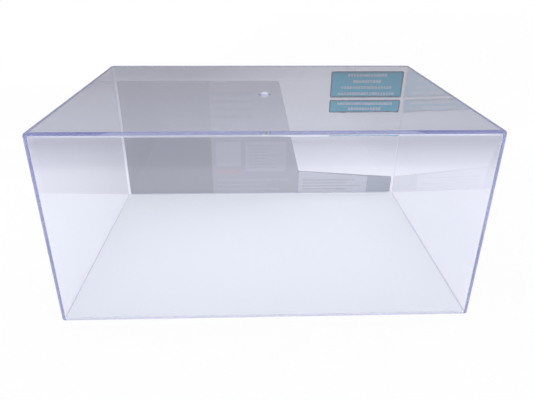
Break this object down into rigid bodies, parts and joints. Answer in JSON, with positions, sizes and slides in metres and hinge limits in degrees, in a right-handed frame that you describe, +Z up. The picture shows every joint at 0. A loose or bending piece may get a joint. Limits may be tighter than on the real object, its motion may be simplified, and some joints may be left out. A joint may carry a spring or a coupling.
{
  "type": "display case",
  "caption": "Clear box-shaped display case for a small model car: a moulded cover with rounded edges lifts off a thin base plate, with plain printed labels on its rear wall.",
  "frame": {"origin": "on the table, under the middle of the case", "axes": "+X to the right along the long side, +Y to the rear wall with the labels, +Z up"},
  "size_m": [0.19, 0.1321, 0.0908],
  "materials": {
    "clear_plastic": "polished clear moulding",
    "base_white": "matt sheet",
    "rear_print": "satin printed film",
    "teal_print": "satin printed film"
  },
  "bodies": {
    "base": {"base_plate": "base_white"},
    "cover": {"clear_cover": "clear_plastic", "rear_label": "rear_print", "upper_teal_label": "teal_print", "lower_teal_label": "teal_print"}
  },
  "joints": [
    {"name": "cover_lift", "type": "slide", "parent": "base", "child": "cover", "axis": [0, 0, 1], "range_m": [0, 0.1]}
  ]
}
